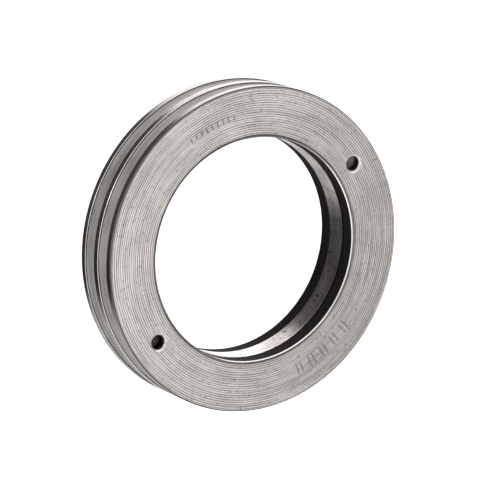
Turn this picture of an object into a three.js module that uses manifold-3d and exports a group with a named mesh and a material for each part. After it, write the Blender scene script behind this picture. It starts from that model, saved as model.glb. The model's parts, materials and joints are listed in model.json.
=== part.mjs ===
// Double-direction thrust ball bearing for a 50 mm shaft.
// Units are millimetres. The bearing lies flat: +Z is its axis and the rear face rests on z = 0.
import * as THREE from 'three';
import { mergeVertices } from 'three/addons/utils/BufferGeometryUtils.js';
import Module from 'manifold-3d';

const wasm = await Module();
wasm.setup();

// ---- driving dimensions ----
const BORE_R = 25;              // central washer, on the shaft
const HOUSING_BORE_R = 25.1;    // front and rear washers, clear of the shaft
const OUTER_R = 36.5;
const HEIGHT = 13;
const RIM_T = 1.8;              // thickness of each washer where it shows on the outside
const NECK_R = 26.6;            // outside of the sleeves that close the ball space from the bore
const SLEEVE_GAP = 0.3;         // running gap between neighbouring sleeves
const EDGE = 0.25;              // broken edges outside
const BORE_EDGE = 0.4;          // chamfer at the mouths of the bore

const BALLS_PER_ROW = 20;
const BALL_R = 2.381;           // 3/16 inch balls
const PITCH_R = 32.3;
const FIRST_BALL_ANGLE = 13;    // degrees; leaves the oil holes over the webs between two balls
const TRACK_R = BALL_R * 1.06;  // ball track, a little wider than the ball
const TRACK_GAP = 0.05;         // clearance between a ball and the bottom of its track

const CAGE_INNER_R = 27;
const CAGE_OUTER_R = 36.2;      // cages sit back from the washers' rims
const CAGE_CLEAR = 0.2;         // between a cage and each washer
const POCKET_R = BALL_R + 0.16;
const CAGE_EDGE = 0.2;

const OIL_HOLE_R = 1.6;         // two countersunk holes through the front washer
const OIL_CSK_R = 2.05;
const OIL_CSK_DEPTH = 0.5;
const OIL_PCD_R = 30.3;
const OIL_ANGLES = [40, 222.8];

const TURN_SEGMENTS = 60;

// ---- levels along the axis ----
const ROW_SPACE = (HEIGHT - 3 * RIM_T) / 2;
const REAR_RIM_TOP = RIM_T;
const MID_RIM_BOTTOM = RIM_T + ROW_SPACE;
const MID_RIM_TOP = MID_RIM_BOTTOM + RIM_T;
const FRONT_RIM_BOTTOM = HEIGHT - RIM_T;
const ROW_Z = { lower: RIM_T + ROW_SPACE / 2, upper: HEIGHT - RIM_T - ROW_SPACE / 2 };

// ---- finishes ----
const finishes = {
  ground_steel: new THREE.MeshStandardMaterial({ color: 0x9b9996, roughness: 0.28, metalness: 1 }),
  shaft_washer_steel: new THREE.MeshStandardMaterial({ color: 0x8f8d8a, roughness: 0.4, metalness: 1 }),
  turned_cage: new THREE.MeshStandardMaterial({ color: 0x7d7b78, roughness: 0.55, metalness: 1 }),
  ball_steel: new THREE.MeshStandardMaterial({ color: 0xc8c8ca, roughness: 0.08, metalness: 1 }),
};

const bearing = new THREE.Group();
bearing.name = 'double_direction_thrust_ball_bearing';

// ---- helpers ----
function addPiece(name, geometry, finish) {
  const mesh = new THREE.Mesh(geometry, finishes[finish]);
  mesh.name = name;
  bearing.add(mesh);
}

function toManifold(geometry) {
  const bare = geometry.clone();
  bare.deleteAttribute('normal');
  bare.deleteAttribute('uv');
  const merged = mergeVertices(bare, 1e-5);
  return new wasm.Manifold(new wasm.Mesh({
    numProp: 3,
    vertProperties: new Float32Array(merged.attributes.position.array),
    triVerts: new Uint32Array(merged.index.array),
  }));
}

function toGeometry(solid) {
  const mesh = solid.getMesh();
  const geometry = new THREE.BufferGeometry();
  geometry.setAttribute('position', new THREE.BufferAttribute(mesh.vertProperties, 3));
  geometry.setIndex(new THREE.BufferAttribute(mesh.triVerts, 1));
  geometry.computeVertexNormals();
  return geometry;
}

function subtract(geometry, tools) {
  let solid = toManifold(geometry);
  for (const tool of tools) solid = solid.subtract(toManifold(tool));
  return toGeometry(solid);
}

// A closed section of (radius, z) points, listed anticlockwise, turned about +Z.
function turned(section, segments = TURN_SEGMENTS) {
  const points = [...section, section[0]].map(([r, z]) => new THREE.Vector2(r, z));
  return new THREE.LatheGeometry(points, segments).rotateX(Math.PI / 2);
}

// Points across a ball track, from the bore side outwards. side is +1 for a track that opens upwards.
function track(rowZ, faceZ, side) {
  const centreZ = rowZ + side * (TRACK_R - BALL_R - TRACK_GAP);
  const half = Math.sqrt(TRACK_R ** 2 - (faceZ - centreZ) ** 2);
  const sweep = Math.asin(half / TRACK_R);
  const steps = 4;
  const points = [];
  for (let i = 0; i <= steps; i += 1) {
    const angle = -sweep + (2 * sweep * i) / steps;
    points.push([PITCH_R + TRACK_R * Math.sin(angle), centreZ - side * TRACK_R * Math.cos(angle)]);
  }
  return points;
}

function flip(section) {
  return section.map(([r, z]) => [r, HEIGHT - z]).reverse();
}

// ---- washers ----
// Rear washer: thin rim outside, sleeve up to the middle of its ball row inside.
const sleeveTop = ROW_Z.lower - SLEEVE_GAP / 2;
const housingSection = [
  [HOUSING_BORE_R, BORE_EDGE],
  [HOUSING_BORE_R + BORE_EDGE, 0],
  [OUTER_R - EDGE, 0],
  [OUTER_R, EDGE],
  [OUTER_R, REAR_RIM_TOP],
  ...track(ROW_Z.lower, REAR_RIM_TOP, 1).reverse(),
  [NECK_R, REAR_RIM_TOP],
  [NECK_R, sleeveTop],
  [HOUSING_BORE_R, sleeveTop],
];

// Front washer: the rear one turned over, with the two countersunk oil holes.
const oilHoleSection = [
  [0, FRONT_RIM_BOTTOM - 1],
  [OIL_HOLE_R, FRONT_RIM_BOTTOM - 1],
  [OIL_HOLE_R, HEIGHT - OIL_CSK_DEPTH],
  [OIL_CSK_R, HEIGHT],
  [OIL_CSK_R, HEIGHT + 1],
  [0, HEIGHT + 1],
];
const oilHoles = OIL_ANGLES.map((degrees) => {
  const angle = THREE.MathUtils.degToRad(degrees);
  return turned(oilHoleSection, 20).translate(OIL_PCD_R * Math.cos(angle), OIL_PCD_R * Math.sin(angle), 0);
});

// Central washer: rim between the two rows, sleeve on the shaft, a track on each side.
const midSection = [
  [BORE_R, ROW_Z.lower + SLEEVE_GAP / 2],
  [NECK_R, ROW_Z.lower + SLEEVE_GAP / 2],
  [NECK_R, MID_RIM_BOTTOM],
  ...track(ROW_Z.lower, MID_RIM_BOTTOM, -1),
  [OUTER_R, MID_RIM_BOTTOM],
  [OUTER_R, MID_RIM_TOP],
  ...track(ROW_Z.upper, MID_RIM_TOP, 1).reverse(),
  [NECK_R, MID_RIM_TOP],
  [NECK_R, ROW_Z.upper - SLEEVE_GAP / 2],
  [BORE_R, ROW_Z.upper - SLEEVE_GAP / 2],
];

addPiece('rear_housing_washer', turned(housingSection), 'ground_steel');
addPiece('central_shaft_washer', turned(midSection), 'shaft_washer_steel');
addPiece('front_housing_washer', subtract(turned(flip(housingSection)), oilHoles), 'ground_steel');

// ---- cages and balls ----
for (const [row, rowZ] of Object.entries(ROW_Z)) {
  const halfT = ROW_SPACE / 2 - CAGE_CLEAR;
  const cageSection = [
    [CAGE_INNER_R, rowZ - halfT],
    [CAGE_OUTER_R - CAGE_EDGE, rowZ - halfT],
    [CAGE_OUTER_R, rowZ - halfT + CAGE_EDGE],
    [CAGE_OUTER_R, rowZ + halfT - CAGE_EDGE],
    [CAGE_OUTER_R - CAGE_EDGE, rowZ + halfT],
    [CAGE_INNER_R, rowZ + halfT],
  ];
  const pockets = [];
  for (let i = 0; i < BALLS_PER_ROW; i += 1) {
    const angle = THREE.MathUtils.degToRad(FIRST_BALL_ANGLE + (360 * i) / BALLS_PER_ROW);
    const x = PITCH_R * Math.cos(angle);
    const y = PITCH_R * Math.sin(angle);
    pockets.push(new THREE.CylinderGeometry(POCKET_R, POCKET_R, ROW_SPACE, 14)
      .rotateX(Math.PI / 2).translate(x, y, rowZ));
    const ball = new THREE.SphereGeometry(BALL_R, 10, 7)
      .rotateX(Math.PI / 2).rotateZ(angle).translate(x, y, rowZ);
    addPiece(`${row}_ball_${String(i + 1).padStart(2, '0')}`, ball, 'ball_steel');
  }
  addPiece(`${row}_cage`, subtract(turned(cageSection), pockets), 'turned_cage');
}

export default bearing;
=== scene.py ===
# Double-direction thrust ball bearing, in metres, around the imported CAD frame.
import json
import math

import bmesh
import bpy
from mathutils import Matrix, Vector


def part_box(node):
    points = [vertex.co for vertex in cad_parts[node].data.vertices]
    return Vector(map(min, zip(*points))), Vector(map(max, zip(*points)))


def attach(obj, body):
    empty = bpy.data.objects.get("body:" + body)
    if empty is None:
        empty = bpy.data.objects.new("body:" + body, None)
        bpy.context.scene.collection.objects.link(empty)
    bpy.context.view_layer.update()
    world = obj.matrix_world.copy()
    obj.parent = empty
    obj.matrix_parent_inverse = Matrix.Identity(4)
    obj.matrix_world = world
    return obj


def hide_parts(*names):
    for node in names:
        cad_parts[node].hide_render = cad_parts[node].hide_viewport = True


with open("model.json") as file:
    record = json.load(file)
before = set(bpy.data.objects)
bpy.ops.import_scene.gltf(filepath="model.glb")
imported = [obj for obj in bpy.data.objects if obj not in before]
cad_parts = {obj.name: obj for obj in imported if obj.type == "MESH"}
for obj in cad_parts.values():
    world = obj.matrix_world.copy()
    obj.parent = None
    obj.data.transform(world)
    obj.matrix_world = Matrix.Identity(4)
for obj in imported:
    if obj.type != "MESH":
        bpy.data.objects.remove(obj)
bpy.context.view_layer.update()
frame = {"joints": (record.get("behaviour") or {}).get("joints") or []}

MM = 0.001

# ---------------------------------------------------------------- sizes, as in the CAD
_, front_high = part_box("front_housing_washer")
_, rear_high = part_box("rear_housing_washer")
mid_low, mid_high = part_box("central_shaft_washer")
cage_low, cage_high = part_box("lower_cage")
HEIGHT = front_high.z
OUTER_R = front_high.x
CAGE_R = cage_high.x
ROW_Z = {
    "lower": (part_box("lower_cage")[0].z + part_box("lower_cage")[1].z) / 2,
    "upper": (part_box("upper_cage")[0].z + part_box("upper_cage")[1].z) / 2,
}
CAGE_HALF_T = (cage_high.z - cage_low.z) / 2

BORE_R = 25.0 * MM              # central washer
HOUSING_BORE_R = 25.1 * MM      # front and rear washers
NECK_R = 26.6 * MM              # outside of the sleeves
RIM_T = 1.8 * MM
BALL_R = 2.381 * MM
TRACK_R = BALL_R * 1.06
TRACK_GAP = 0.05 * MM
CAGE_INNER_R = 27.0 * MM
POCKET_R = BALL_R + 0.16 * MM
OIL_PCD_R = 30.3 * MM
OIL_HOLE_R = 1.6 * MM
OIL_CSK_R = 2.05 * MM
OIL_CSK_DEPTH = 0.5 * MM
OIL_ANGLES = (40, 222.8)

balls = {
    joint["child"]: joint for joint in frame["joints"] if "_ball_" in joint["child"]
}
PITCH_R = Vector(balls["lower_ball_01"]["pos_m"]).xy.length

# ---------------------------------------------------------------- the look of the surfaces
EDGE_BREAK = 0.32 * MM          # rounding of the front and rear outer edges
BACK_EDGE = 0.1 * MM            # rounding of the same rims on the cage side
MID_EDGE = 0.12 * MM            # rounding of the central rim
EDGE_STEPS, BACK_STEPS, MID_STEPS = 6, 4, 4
BORE_CHAMFER = 0.2 * MM
LIP_WIDTH = 0.55 * MM           # worn lip between the chamfer and the turned face, its dark colour painted shade
LIP_DROP = 0.06 * MM
FACE_INNER_R = HOUSING_BORE_R + BORE_CHAMFER + LIP_WIDTH
FACE_OUTER_R = OUTER_R - EDGE_BREAK
GROOVES = 20                    # feed grooves on the front and rear faces
GROOVE_DEPTH = 0.019 * MM
GROOVE_PITCH = (FACE_OUTER_R - FACE_INNER_R) / GROOVES
GROOVE_STEPS = 8                # points across one groove
TRACK_STEPS = 16                # chords across a ball track
DRILL_REACH = 1 * MM            # how far the drills pass through the rim, and stand above the face
TICKS_R = 30.6 * MM             # punch ticks on the front face, angles in degrees
TICK_DEPTH = 0.15 * MM
TICK_ABOVE = 0.05 * MM          # how far the cutter of a tick stands above the face
SHORT_TICKS, SHORT_TICKS_FROM, SHORT_TICK_STEP = 9, 107.0, 2.7
SHORT_TICK_SIZE = (1.6 * MM, 0.34 * MM)         # length and width
LONG_TICKS, LONG_TICKS_FROM, LONG_TICK_STEP = 5, -61.0, 6.6
LONG_TICK_SIZE = (3.2 * MM, 0.5 * MM)
LONG_TICK_SPREAD = 1.1          # long ticks come in pairs, this far to each side
BRIM_R = 35.1 * MM              # raised brims on both sides of each cage, outside the pockets
BRIM_RISE = 0.14 * MM
CAGE_LIP = 0.06 * MM            # corner break of a brim
CAGE_HOLLOW = 0.12 * MM         # how far the middle of the outside is sunk
CAGE_STEPS = 24                 # chords across the outside of a cage
POCKET_REACH = 3 * MM           # half the length of a pocket cutter
WASHER_ROUND, CAGE_ROUND, DRILL_ROUND, POCKET_ROUND = 400, 360, 64, 48      # facets round a shape
BALL_CUTS = 11                  # cuts across a side of the cube a ball is made from
CLOUD_SIZE = 7 * MM             # tarnish
PATCH_SIZE = 1.5 * MM           # duller and glossier patches
SCUFF_SIZE = 0.4 * MM           # the same on the balls
WHITE = (1, 1, 1)

# ---------------------------------------------------------------- light and floor, in metres and watts
# lamps: name, direction, size, power
SOFTBOXES = [
    ("streak_light", (0.29, 0.27, 0.92), 0.6, 1.8),
    ("low_streak_light", (0.08, -0.40, 0.91), 0.6, 2.0),
    ("left_light", (-0.95, 0.29, 0.06), 0.14, 3.0),
]
SOFTBOX_DISTANCE = 0.8
TENT_COLOUR = (1.0, 0.99, 0.98, 1)
TENT_LIGHT = 1.55               # the tent at the sides and behind
FRONT_LIGHT = 0.37              # and straight in front of the face
FRONT_FROM, FRONT_TO = 0.35, 0.8        # the change between them, as the height of a direction
# dark cards in the tent: direction, half width and softness in degrees, light left
DARK_CARDS = [
    ((-0.5, 0.12, -0.85), 39, 7, 0.05),
    ((0.95, 0.25, -0.05), 26, 8, 0.15),
    ((0.15, -0.99, 0.05), 22, 8, 0.3),
    ((-0.06, -0.58, -0.80), 34, 12, 0.38),
]
FLOOR_REACH = 3.0               # half the side of the floor
FLOOR_GLOW = 0.8


# ---------------------------------------------------------------- materials
def new_material(name):
    material = bpy.data.materials.new(name)
    material.use_nodes = True
    nodes = material.node_tree.nodes
    return material, nodes, material.node_tree.links, nodes["Principled BSDF"]


def add_node(nodes, kind, **inputs):
    node = nodes.new(kind)
    for key, value in inputs.items():
        if key in node.inputs:
            node.inputs[key].default_value = value
        else:
            setattr(node, key, value)
    return node


def colour_ramp(nodes, links, value, stops):
    """value turned into a colour that runs through the stops, each (place, colour)."""
    ramp = nodes.new("ShaderNodeValToRGB")
    elements = ramp.color_ramp.elements
    while len(elements) < len(stops):
        elements.new(0.5)
    for element, (place, colour) in zip(elements, stops):
        element.position = place
        element.color = (*colour, 1)
    links.new(value, ramp.inputs["Fac"])
    return ramp.outputs["Color"]


def dimmed(darkness, warmth=0.0):
    """White less darkness, with a little more taken from the green and the blue when warmth is above 0."""
    return 1 - darkness, 1 - darkness * (1 + warmth), 1 - darkness * (1 + 2 * warmth)


def calculated(nodes, links, operation, first, second=None, number=None):
    """A maths node's result, from one value and, where needed, a second value or a plain number."""
    node = add_node(nodes, "ShaderNodeMath", operation=operation)
    links.new(first, node.inputs[0])
    if second is not None:
        links.new(second, node.inputs[1])
    if number is not None:
        node.inputs[1].default_value = number
    return node.outputs[0]


def polar_coordinates(nodes, links):
    """The coordinates node, and each point's radius in metres, angle in radians and height in metres."""
    coords = nodes.new("ShaderNodeTexCoord")
    split = nodes.new("ShaderNodeSeparateXYZ")
    links.new(coords.outputs["Object"], split.inputs[0])
    flat = nodes.new("ShaderNodeCombineXYZ")
    links.new(split.outputs["X"], flat.inputs["X"])
    links.new(split.outputs["Y"], flat.inputs["Y"])
    length = add_node(nodes, "ShaderNodeVectorMath", operation="LENGTH")
    links.new(flat.outputs[0], length.inputs[0])
    angle = calculated(nodes, links, "ARCTAN2", split.outputs["Y"], split.outputs["X"])
    return coords, length.outputs["Value"], angle, split.outputs["Z"]


def ring_noise(nodes, links, radius, angle, height, across, around, detail=4.0):
    """Noise drawn out round the axis: across is its cycles per metre of radius and height, and around is
    the radius of the circle it is read along, so a larger one gives shorter marks."""
    depth = calculated(nodes, links, "ADD", radius, height)
    place = nodes.new("ShaderNodeCombineXYZ")
    for axis_name, operation in (("X", "COSINE"), ("Y", "SINE")):
        turned = calculated(nodes, links, operation, angle)
        links.new(calculated(nodes, links, "MULTIPLY", turned, number=around), place.inputs[axis_name])
    links.new(calculated(nodes, links, "MULTIPLY", depth, number=across), place.inputs["Z"])
    noise = add_node(nodes, "ShaderNodeTexNoise", Scale=1.0, Detail=detail, Roughness=0.6)
    links.new(place.outputs[0], noise.inputs["Vector"])
    return noise.outputs["Fac"]


def blotches(nodes, links, coords, size, detail=3.0):
    noise = add_node(nodes, "ShaderNodeTexNoise", Scale=1 / size, Detail=detail, Roughness=0.55)
    links.new(coords.outputs["Object"], noise.inputs["Vector"])
    return noise.outputs["Fac"]


def multiply_colours(nodes, links, first, second):
    mix = nodes.new("ShaderNodeMix")
    mix.data_type = "RGBA"
    mix.blend_type = "MULTIPLY"
    mix.inputs["Factor"].default_value = 1.0
    links.new(first, mix.inputs["A"])
    links.new(second, mix.inputs["B"])
    return mix.outputs["Result"]


def mapped(nodes, links, value, low, high):
    """value, from 0 to 1, mapped to low to high."""
    reach = nodes.new("ShaderNodeMapRange")
    reach.inputs["To Min"].default_value = low
    reach.inputs["To Max"].default_value = high
    links.new(value, reach.inputs["Value"])
    return reach.outputs[0]


def painted_groove_shade(nodes, links, radius, variation, darkness):
    """Painted shade in the feed grooves of the turned face, with painted highlight on the crests: white on
    the crests, dark in the grooves.
    """
    place = nodes.new("ShaderNodeMapRange")
    place.clamp = False
    place.inputs["From Min"].default_value = FACE_INNER_R
    place.inputs["From Max"].default_value = FACE_INNER_R + GROOVE_PITCH
    links.new(radius, place.inputs["Value"])
    swing = calculated(nodes, links, "PINGPONG", place.outputs[0], number=0.5)
    lines = colour_ramp(nodes, links, swing, [(0.24, WHITE), (0.44, dimmed(darkness, 0.03))])
    fade = nodes.new("ShaderNodeMix")
    fade.data_type = "RGBA"
    fade.inputs["A"].default_value = (*WHITE, 1)
    links.new(mapped(nodes, links, variation, -0.2, 1.7), fade.inputs["Factor"])
    links.new(lines, fade.inputs["B"])
    return fade.outputs["Result"]


def steel(name, light, dark, roughness, anisotropy, fine=9.0, coarse=1.9, marks=0.2, relief=0.004 * MM,
          stain=0.15, pits=0.0, pit_size=1.1 * MM, grooves=0.0, metal=1.0, shine=0.5):
    """Turned or ground steel. fine and coarse are lines round the axis per millimetre; marks, stain, pits
    and grooves say how dark the coarse lines, the tarnish, the pits and the painted shade in the feed grooves
    are."""
    material, nodes, links, shader = new_material(name)
    coords, radius, angle, height = polar_coordinates(nodes, links)
    fine_lines = ring_noise(nodes, links, radius, angle, height, fine / MM, 3.0)
    coarse_lines = ring_noise(nodes, links, radius, angle, height, coarse / MM, 1.2, 2.0)
    colour = colour_ramp(nodes, links, fine_lines, [(0.32, dark), (0.68, light)])
    feed = colour_ramp(nodes, links, coarse_lines, [(0.38, dimmed(marks)), (0.55, WHITE)])
    colour = multiply_colours(nodes, links, colour, feed)
    clouds = blotches(nodes, links, coords, CLOUD_SIZE)
    tarnish = colour_ramp(nodes, links, clouds, [(0.35, dimmed(stain, 0.06)), (0.62, WHITE)])
    colour = multiply_colours(nodes, links, colour, tarnish)
    if pits:
        dots = blotches(nodes, links, coords, pit_size, 2.0)
        specks = colour_ramp(nodes, links, dots, [(0.30, dimmed(pits)), (0.40, WHITE)])
        colour = multiply_colours(nodes, links, colour, specks)
    # painted shade in the feed grooves, with painted highlight on their crests
    if grooves:
        variation = ring_noise(nodes, links, radius, angle, height, 1.6 / MM, 4.0, 2.0)
        groove_shade_colour = painted_groove_shade(nodes, links, radius, variation, grooves)
        colour = multiply_colours(nodes, links, colour, groove_shade_colour)
    links.new(colour, shader.inputs["Base Color"])
    patches = blotches(nodes, links, coords, PATCH_SIZE, 5.0)
    links.new(mapped(nodes, links, patches, roughness * 0.85, roughness * 1.15), shader.inputs["Roughness"])
    bump = nodes.new("ShaderNodeBump")
    bump.inputs["Strength"].default_value = 1.0
    bump.inputs["Distance"].default_value = relief
    links.new(fine_lines, bump.inputs["Height"])
    links.new(bump.outputs[0], shader.inputs["Normal"])
    shader.inputs["Metallic"].default_value = metal
    shader.inputs["Specular IOR Level"].default_value = shine
    shader.inputs["Anisotropic"].default_value = anisotropy
    tangent = add_node(nodes, "ShaderNodeTangent", direction_type="RADIAL", axis="Z")
    links.new(tangent.outputs[0], shader.inputs["Tangent"])
    return material


finishes = {
    # the face's grooves value sets painted shade in the feed grooves and painted highlight on the crests
    "face": steel("turned_face_steel", (0.66, 0.632, 0.612), (0.50, 0.478, 0.462), 0.32, 0.65,
                  marks=0.18, stain=0.13, pits=0.34, pit_size=0.7 * MM, grooves=0.8),
    "rim": steel("ground_rim_steel", (0.66, 0.645, 0.635), (0.54, 0.53, 0.52), 0.18, 0.5,
                 fine=14, marks=0.12, relief=0.0016 * MM, pits=0.3, pit_size=0.5 * MM),
    # lighter than the rim: painted highlight for the thin bright line at the rims' rounded corners
    "corner": steel("broken_corner_painted_highlight_steel", (0.80, 0.785, 0.77), (0.62, 0.61, 0.60), 0.40, 0.0, marks=0.1),
    # near-black outer edge break: painted shade for the dark line round the rim
    "edge": steel("painted_shade_edge_steel", (0.15, 0.145, 0.14), (0.09, 0.085, 0.083), 0.45, 0.3),
    # dark colour of the lip beside the bore chamfer: painted shade
    "lip": steel("painted_shade_lip_steel", (0.20, 0.19, 0.185), (0.09, 0.085, 0.083), 0.4, 0.3, marks=0.4),
    # near-white chamfer colour: painted highlight for the bright line at the bore edge
    "chamfer": steel("painted_highlight_chamfer_steel", (0.92, 0.91, 0.90), (0.80, 0.79, 0.78), 0.24, 0.2, marks=0.05),
    # lighter than the face: painted highlight on the countersink rims
    "countersink": steel("painted_highlight_countersink_steel", (0.84, 0.83, 0.82), (0.68, 0.67, 0.66), 0.32, 0.0,
                         marks=0.2, metal=0.7),
    "stamp": steel("stamped_steel", (0.40, 0.39, 0.38), (0.26, 0.25, 0.245), 0.4, 0.0, metal=0.8),
    "cage": steel("turned_cage_steel", (0.41, 0.39, 0.375), (0.27, 0.255, 0.245), 0.40, 0.5,
                  fine=7, marks=0.25, stain=0.2, pits=0.3, pit_size=0.7 * MM, metal=0.55),
    "shaft_bore": steel("rough_bore_steel", (0.96, 0.90, 0.89), (0.76, 0.70, 0.69), 0.27, 0.3,
                        fine=5, marks=0.25, stain=0.38, pits=0.8, pit_size=0.9 * MM),
    # near black, far darker than the steel around it
    "black_bore": steel("near_black_bore_steel", (0.0075, 0.006, 0.006), (0.0035, 0.003, 0.003), 0.7, 0.0,
                        fine=6, metal=0.0, shine=0.1),
    # near black: painted shade inside the oil holes
    "oil_hole": steel("painted_shade_hole_steel", (0.06, 0.055, 0.052), (0.03, 0.028, 0.026), 0.5, 0.0,
                      metal=0.3, shine=0.3),
    # near black: painted shade on the inner surfaces between the parts
    "inside": steel("painted_shade_inside_steel", (0.09, 0.085, 0.08), (0.05, 0.047, 0.045), 0.35, 0.3, fine=7),
    "track": steel("lapped_track_steel", (0.7, 0.69, 0.68), (0.6, 0.59, 0.58), 0.12, 0.3,
                   fine=15, marks=0.05, relief=0.0006 * MM, stain=0.08),
}


def ball_steel():
    material, nodes, links, shader = new_material("polished_ball_steel")
    coords = nodes.new("ShaderNodeTexCoord")
    haze = blotches(nodes, links, coords, PATCH_SIZE)
    colour = colour_ramp(nodes, links, haze, [(0.35, (0.70, 0.70, 0.71)), (0.65, (0.80, 0.80, 0.81))])
    links.new(colour, shader.inputs["Base Color"])
    scuffs = blotches(nodes, links, coords, SCUFF_SIZE)
    links.new(mapped(nodes, links, scuffs, 0.04, 0.1), shader.inputs["Roughness"])
    shader.inputs["Metallic"].default_value = 1.0
    return material


finishes["ball"] = ball_steel()


# ---------------------------------------------------------------- shapes
def add_object(name, data):
    item = bpy.data.objects.new(name, data)
    bpy.context.scene.collection.objects.link(item)
    return item


def finished(bm, name, *finish_names):
    """A mesh from bm, which is freed, with the finishes as its materials."""
    mesh = bpy.data.meshes.new(name)
    bm.to_mesh(mesh)
    bm.free()
    for finish in finish_names:
        mesh.materials.append(finishes[finish])
    return mesh


def arc(centre, radius, start, end, steps):
    """Points (radius, z) on an arc, angles in degrees from the outward direction, anticlockwise."""
    points = []
    for i in range(steps + 1):
        angle = math.radians(start + (end - start) * i / steps)
        points.append((centre[0] + radius * math.cos(angle), centre[1] + radius * math.sin(angle)))
    return points


def grooved_face():
    """The turned front or rear face, seen as a face that looks down: feed grooves of varying depth."""
    points = []
    for i in range(GROOVES * GROOVE_STEPS + 1):
        groove = min(i // GROOVE_STEPS, GROOVES - 1)
        depth = GROOVE_DEPTH * (0.8 + 0.4 * math.sin(groove * 2.4) ** 2)
        dip = depth * (0.5 - 0.5 * math.cos(2 * math.pi * i / GROOVE_STEPS)) ** 2
        points.append((FACE_INNER_R + GROOVE_PITCH * i / GROOVE_STEPS, dip))
    return points


def ball_track(row_z, face_z, side):
    """Points across a ball track, from the bore side outwards. side is +1 for a track that opens upwards."""
    centre_z = row_z + side * (TRACK_R - BALL_R - TRACK_GAP)
    sweep = math.asin(math.sqrt(TRACK_R**2 - (face_z - centre_z) ** 2) / TRACK_R)
    points = []
    for i in range(TRACK_STEPS + 1):
        angle = -sweep + 2 * sweep * i / TRACK_STEPS
        points.append((PITCH_R + TRACK_R * math.sin(angle), centre_z - side * TRACK_R * math.cos(angle)))
    return points


def turn(name, runs, segments):
    """Turns a closed section about Z. runs is a list of (finish, points), and each run ends where the
    next begins, with a sharp edge there."""
    used = []
    for finish, _ in runs:
        if finish not in used:
            used.append(finish)
    section, run_finish, sharp = [], [], []
    for finish, points in runs:
        for i, point in enumerate(points[:-1]):
            section.append(point)
            run_finish.append(used.index(finish))
            sharp.append(i == 0)
    count = len(section)
    mesh = bpy.data.meshes.new(name)
    vertices = []
    for s in range(segments):
        angle = 2 * math.pi * s / segments
        x, y = math.cos(angle), math.sin(angle)
        vertices.extend((r * x, r * y, z) for r, z in section)
    faces = []
    for s in range(segments):
        t = (s + 1) % segments
        for i in range(count):
            j = (i + 1) % count
            faces.append((s * count + i, t * count + i, t * count + j, s * count + j))
    mesh.from_pydata(vertices, [], faces)
    mesh.polygons.foreach_set("material_index", run_finish * segments)
    mesh.polygons.foreach_set("use_smooth", [True] * len(faces))
    edge_sharp = [False] * len(mesh.edges)
    for edge in mesh.edges:
        a, b = edge.vertices
        if a % count == b % count and sharp[a % count]:
            edge_sharp[edge.index] = True
    mesh.attributes.new("sharp_edge", "BOOLEAN", "EDGE").data.foreach_set("value", edge_sharp)
    for finish in used:
        mesh.materials.append(finishes[finish])
    return add_object(name, mesh)


def cut(piece, cutters):
    """Cuts the joined cutters out of the piece and applies the result."""
    tool = add_object("cutter", joined(cutters))
    boolean = piece.modifiers.new("cut", "BOOLEAN")
    boolean.operation = "DIFFERENCE"
    boolean.solver = "EXACT"
    boolean.material_mode = "TRANSFER"
    boolean.object = tool
    depsgraph = bpy.context.evaluated_depsgraph_get()
    result = bpy.data.meshes.new_from_object(piece.evaluated_get(depsgraph))
    piece.modifiers.clear()
    piece.data = result
    bpy.data.objects.remove(tool)


def joined(objects):
    """One mesh from several objects, which are removed."""
    combined = bmesh.new()
    materials = []
    for item in objects:
        item.data.transform(item.matrix_world)
        first = len(combined.faces)
        combined.from_mesh(item.data)
        combined.faces.ensure_lookup_table()
        for face in combined.faces[first:]:
            own = item.data.materials[face.material_index]
            if own not in materials:
                materials.append(own)
            face.material_index = materials.index(own)
    mesh = bpy.data.meshes.new("joined")
    combined.to_mesh(mesh)
    combined.free()
    for material in materials:
        mesh.materials.append(material)
    for item in objects:
        bpy.data.objects.remove(item)
    return mesh


def spindle(name, centre, foot, bands, segments):
    """A solid turned about a vertical line through centre: foot is its lowest (radius, z), and each band
    (finish, radius, z) runs on from the one before."""
    bm = bmesh.new()
    rings = []
    for r, z in [foot] + [band[1:] for band in bands]:
        rings.append([
            bm.verts.new((centre[0] + r * math.cos(2 * math.pi * s / segments),
                          centre[1] + r * math.sin(2 * math.pi * s / segments), z))
            for s in range(segments)
        ])
    for i, (low, high) in enumerate(zip(rings, rings[1:])):
        for s in range(segments):
            t = (s + 1) % segments
            wall = bm.faces.new((low[s], low[t], high[t], high[s]))
            wall.material_index = i
            wall.smooth = True
    bm.faces.new(list(reversed(rings[0])))
    bm.faces.new(rings[-1])
    return add_object(name, finished(bm, name, *[finish for finish, _, _ in bands]))


def stroke(degrees, length, width):
    """A cutter for one radial punch tick in the front face: a V groove with pointed ends."""
    grow = 1 + TICK_ABOVE / TICK_DEPTH
    shoulder = length / 2 - width
    point = shoulder + width * grow
    flank = width / 2 * grow
    bm = bmesh.new()
    inner, outer = (bm.verts.new((x, 0, -TICK_DEPTH)) for x in (-shoulder, shoulder))
    outline = [
        (-point, 0), (-shoulder, -flank), (shoulder, -flank),
        (point, 0), (shoulder, flank), (-shoulder, flank),
    ]
    top = [bm.verts.new((x, y, TICK_ABOVE)) for x, y in outline]
    bm.faces.new(top)
    for corners in [
        (inner, top[1], top[0]), (inner, top[0], top[5]), (outer, top[3], top[2]), (outer, top[4], top[3]),
        (inner, outer, top[2], top[1]), (outer, inner, top[5], top[4]),
    ]:
        bm.faces.new(corners)
    bmesh.ops.recalc_face_normals(bm, faces=bm.faces[:])
    item = add_object("stroke", finished(bm, "stroke", "stamp"))
    angle = math.radians(degrees)
    item.matrix_world = (
        Matrix.Translation((TICKS_R * math.cos(angle), TICKS_R * math.sin(angle), HEIGHT))
        @ Matrix.Rotation(angle, 4, "Z")
    )
    return item


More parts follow.
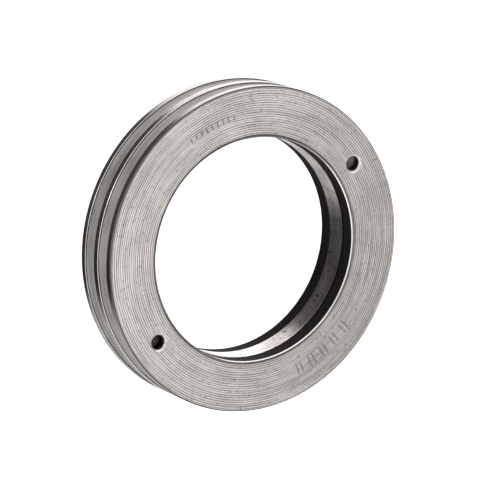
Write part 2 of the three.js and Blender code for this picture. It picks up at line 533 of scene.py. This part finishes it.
# ---------------------------------------------------------------- washers
def housing_runs(front):
    """Section of the rear washer, or of the front one, which is the same turned over."""
    sleeve_end = rear_high.z
    chamfer = [(HOUSING_BORE_R, BORE_CHAMFER + LIP_DROP), (HOUSING_BORE_R + BORE_CHAMFER, LIP_DROP)]
    edge = arc((FACE_OUTER_R, EDGE_BREAK), EDGE_BREAK, 270, 360, EDGE_STEPS)
    back_edge = arc((OUTER_R - BACK_EDGE, RIM_T - BACK_EDGE), BACK_EDGE, 0, 90, BACK_STEPS)
    face = grooved_face()
    track = ball_track(ROW_Z["lower"], RIM_T, 1)[::-1]
    runs = [
        ("chamfer", chamfer),
        ("lip", [chamfer[-1], face[0]]),
        ("face", face),
        ("edge", edge),
        ("rim", [edge[-1], back_edge[0]]),
        ("corner", back_edge),
        ("inside", [back_edge[-1], track[0]]),
        ("track", track),
        ("inside", [track[-1], (NECK_R, RIM_T)]),
        ("inside", [(NECK_R, RIM_T), (NECK_R, sleeve_end)]),
        ("black_bore", [(NECK_R, sleeve_end), (HOUSING_BORE_R, sleeve_end)]),
        ("black_bore", [(HOUSING_BORE_R, sleeve_end), chamfer[0]]),
    ]
    if front:
        runs = [(finish, [(r, HEIGHT - z) for r, z in reversed(points)]) for finish, points in reversed(runs)]
    return runs


def central_runs():
    """Section of the central washer: a rim with a ball track on each side, and a sleeve in the bore."""
    low, high = mid_low.z, mid_high.z
    bottom, top = HEIGHT / 2 - RIM_T / 2, HEIGHT / 2 + RIM_T / 2
    under = ball_track(ROW_Z["lower"], bottom, -1)
    over = ball_track(ROW_Z["upper"], top, 1)[::-1]
    rim_low = arc((OUTER_R - MID_EDGE, bottom + MID_EDGE), MID_EDGE, 270, 360, MID_STEPS)
    rim_high = arc((OUTER_R - MID_EDGE, top - MID_EDGE), MID_EDGE, 0, 90, MID_STEPS)
    return [
        ("inside", [(BORE_R, low), (NECK_R, low)]),
        ("inside", [(NECK_R, low), (NECK_R, bottom)]),
        ("inside", [(NECK_R, bottom), under[0]]),
        ("track", under),
        ("inside", [under[-1], rim_low[0]]),
        ("corner", rim_low),
        ("rim", [rim_low[-1], rim_high[0]]),
        ("corner", rim_high),
        ("inside", [rim_high[-1], over[0]]),
        ("track", over),
        ("inside", [over[-1], (NECK_R, top)]),
        ("inside", [(NECK_R, top), (NECK_R, high)]),
        ("inside", [(NECK_R, high), (BORE_R, high)]),
        ("shaft_bore", [(BORE_R, high), (BORE_R, low)]),
    ]


def place(piece, body, node, slot):
    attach(piece, body)
    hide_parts(node)


rear = turn("rear_washer_turned", housing_runs(False), WASHER_ROUND)
place(rear, "rear_washer", "rear_housing_washer", "ground_steel")

central = turn("central_washer_turned", central_runs(), WASHER_ROUND)
place(central, "central_washer", "central_shaft_washer", "shaft_washer_steel")

front = turn("front_washer_turned", housing_runs(True), WASHER_ROUND)
drills = []
for degrees in OIL_ANGLES:
    angle = math.radians(degrees)
    centre = (OIL_PCD_R * math.cos(angle), OIL_PCD_R * math.sin(angle))
    drills.append(spindle("drill", centre, (OIL_HOLE_R, HEIGHT - RIM_T - DRILL_REACH), [
        ("oil_hole", OIL_HOLE_R, HEIGHT - OIL_CSK_DEPTH),
        ("countersink", OIL_CSK_R, HEIGHT),
        ("countersink", OIL_CSK_R, HEIGHT + DRILL_REACH),
    ], DRILL_ROUND))
# plain radial punch ticks where the real face is stamped: single short ones high up, long pairs low down
for i in range(SHORT_TICKS):
    drills.append(stroke(SHORT_TICKS_FROM + SHORT_TICK_STEP * i, *SHORT_TICK_SIZE))
for i in range(LONG_TICKS):
    for spread in (-LONG_TICK_SPREAD, LONG_TICK_SPREAD):
        drills.append(stroke(LONG_TICKS_FROM + LONG_TICK_STEP * i + spread, *LONG_TICK_SIZE))
cut(front, drills)
place(front, "front_washer", "front_housing_washer", "ground_steel")


# ---------------------------------------------------------------- cages and balls
def cage_runs(row_z):
    """Solid cage with a brim that almost touches the washers, its outside turned slightly hollow."""
    low, high = row_z - CAGE_HALF_T, row_z + CAGE_HALF_T
    brim_low, brim_high = low - BRIM_RISE, high + BRIM_RISE
    outside = []
    for i in range(CAGE_STEPS + 1):
        part = i / CAGE_STEPS
        sink = CAGE_HOLLOW * (1 - (2 * part - 1) ** 4)
        outside.append((CAGE_R - sink, brim_low + CAGE_LIP + (brim_high - brim_low - 2 * CAGE_LIP) * part))
    lip_r = CAGE_R - CAGE_LIP
    under = [(CAGE_INNER_R, low), (BRIM_R, low), (BRIM_R + BRIM_RISE, brim_low), (lip_r, brim_low)]
    over = [(lip_r, brim_high), (BRIM_R + BRIM_RISE, brim_high), (BRIM_R, high), (CAGE_INNER_R, high)]
    return [
        ("inside", under),
        ("cage", [under[-1], outside[0]]),
        ("cage", outside),
        ("cage", [outside[-1], over[0]]),
        ("inside", over),
        ("inside", [over[-1], under[0]]),
    ]


def ball_mesh():
    """A sphere from a cube with evenly spread faces, so that no poles show in its gloss."""
    bm = bmesh.new()
    bmesh.ops.create_cube(bm, size=2)
    bmesh.ops.subdivide_edges(bm, edges=bm.edges[:], cuts=BALL_CUTS, use_grid_fill=True)
    for vertex in bm.verts:
        spread = Vector(math.tan(c * math.pi / 4) for c in vertex.co)
        vertex.co = spread.normalized() * BALL_R
    for face in bm.faces:
        face.smooth = True
    return finished(bm, "ball", "ball")


for row, row_z in ROW_Z.items():
    cage = turn(f"{row}_cage_turned", cage_runs(row_z), CAGE_ROUND)
    row_balls = [joint for name, joint in balls.items() if name.startswith(row)]
    foot, head = (POCKET_R, row_z - POCKET_REACH), ("inside", POCKET_R, row_z + POCKET_REACH)
    cut(cage, [spindle("pocket", joint["pos_m"][:2], foot, [head], POCKET_ROUND) for joint in row_balls])
    place(cage, f"{row}_cage_ring", f"{row}_cage", "turned_cage")
    for joint in row_balls:
        body = joint["child"]
        mesh = ball_mesh()
        mesh.transform(Matrix.Translation(joint["pos_m"]))
        place(add_object(f"{body}_polished", mesh), body, body, "ball_steel")


# ---------------------------------------------------------------- floor, light and camera
def floor():
    mesh = bpy.data.meshes.new("floor")
    corners = [(FLOOR_REACH * x, FLOOR_REACH * y, 0) for x, y in ((-1, -1), (1, -1), (1, 1), (-1, 1))]
    mesh.from_pydata(corners, [], [(0, 1, 2, 3)])
    material, _, _, shader = new_material("pale_floor")
    shader.inputs["Base Color"].default_value = (0.9, 0.9, 0.9, 1)
    shader.inputs["Roughness"].default_value = 0.9
    shader.inputs["Emission Color"].default_value = (*WHITE, 1)
    shader.inputs["Emission Strength"].default_value = FLOOR_GLOW
    mesh.materials.append(material)
    plane = add_object("floor", mesh)
    plane.visible_glossy = False        # the steel mirrors the tent and not the floor


def studio():
    """A white tent that is dimmer straight in front of the bearing's face, with soft dark cards in it."""
    world = bpy.data.worlds.new("studio")
    bpy.context.scene.world = world
    world.use_nodes = True
    nodes, links = world.node_tree.nodes, world.node_tree.links
    coords = nodes.new("ShaderNodeTexCoord")
    split = nodes.new("ShaderNodeSeparateXYZ")
    links.new(coords.outputs["Generated"], split.inputs[0])

    def level(value, start, end, low, high):
        step = nodes.new("ShaderNodeMapRange")
        step.interpolation_type = "SMOOTHSTEP"
        for name, number in (("From Min", start), ("From Max", end), ("To Min", low), ("To Max", high)):
            step.inputs[name].default_value = number
        links.new(value, step.inputs["Value"])
        return step.outputs[0]

    light = level(split.outputs["Z"], FRONT_FROM, FRONT_TO, TENT_LIGHT, FRONT_LIGHT)
    for direction, reach, soft, dim in DARK_CARDS:
        dot = add_node(nodes, "ShaderNodeVectorMath", operation="DOT_PRODUCT")
        links.new(coords.outputs["Generated"], dot.inputs[0])
        dot.inputs[1].default_value = Vector(direction).normalized()
        edge = math.cos(math.radians(reach + soft)), math.cos(math.radians(reach - soft))
        card = level(dot.outputs["Value"], *edge, 1.0, dim)
        light = calculated(nodes, links, "MULTIPLY", light, card)
    nodes["Background"].inputs["Color"].default_value = TENT_COLOUR
    links.new(light, nodes["Background"].inputs["Strength"])


def softbox(name, direction, size, watts):
    lamp = bpy.data.lights.new(name, "AREA")
    lamp.shape = "DISK"
    lamp.size = size
    lamp.energy = watts
    item = add_object(name, lamp)
    away = Vector(direction).normalized()
    item.location = away * SOFTBOX_DISTANCE
    item.rotation_mode = "QUATERNION"
    item.rotation_quaternion = away.to_track_quat("Z", "Y")


floor()
studio()
for box in SOFTBOXES:
    softbox(*box)

# The bearing is seen as if it stood on its edge: UPRIGHT is the direction in its plane that is up.
UPRIGHT = math.radians(96.9)
VIEW_TURN = math.radians(30.98)     # the view's angle from the axis, round the upright
VIEW_RISE = math.radians(13.24)     # and above the level
DISTANCE = 24.07 * OUTER_R
LENS, SENSOR = 288, 36              # focal length and sensor width, in millimetres
NEAR = 0.01
AIM_LEFT = 0.0335 * OUTER_R         # the camera aims a little left of the middle of the front face

upright = Vector((math.cos(UPRIGHT), math.sin(UPRIGHT), 0))
axis = Vector((0, 0, 1))
level_back = axis * math.cos(VIEW_TURN) - upright.cross(axis) * math.sin(VIEW_TURN)
back = level_back * math.cos(VIEW_RISE) + upright * math.sin(VIEW_RISE)
right = upright.cross(back).normalized()
up = back.cross(right)
camera = add_object("camera", bpy.data.cameras.new("camera"))
camera.data.lens = LENS
camera.data.sensor_width = SENSOR
camera.data.clip_start = NEAR
facing = Matrix((right, up, back)).transposed().to_4x4()
target = Vector((0, 0, HEIGHT)) - right * AIM_LEFT
camera.matrix_world = Matrix.Translation(target + back * DISTANCE) @ facing
bpy.context.scene.camera = camera
bpy.context.scene.view_settings.view_transform = "Standard"
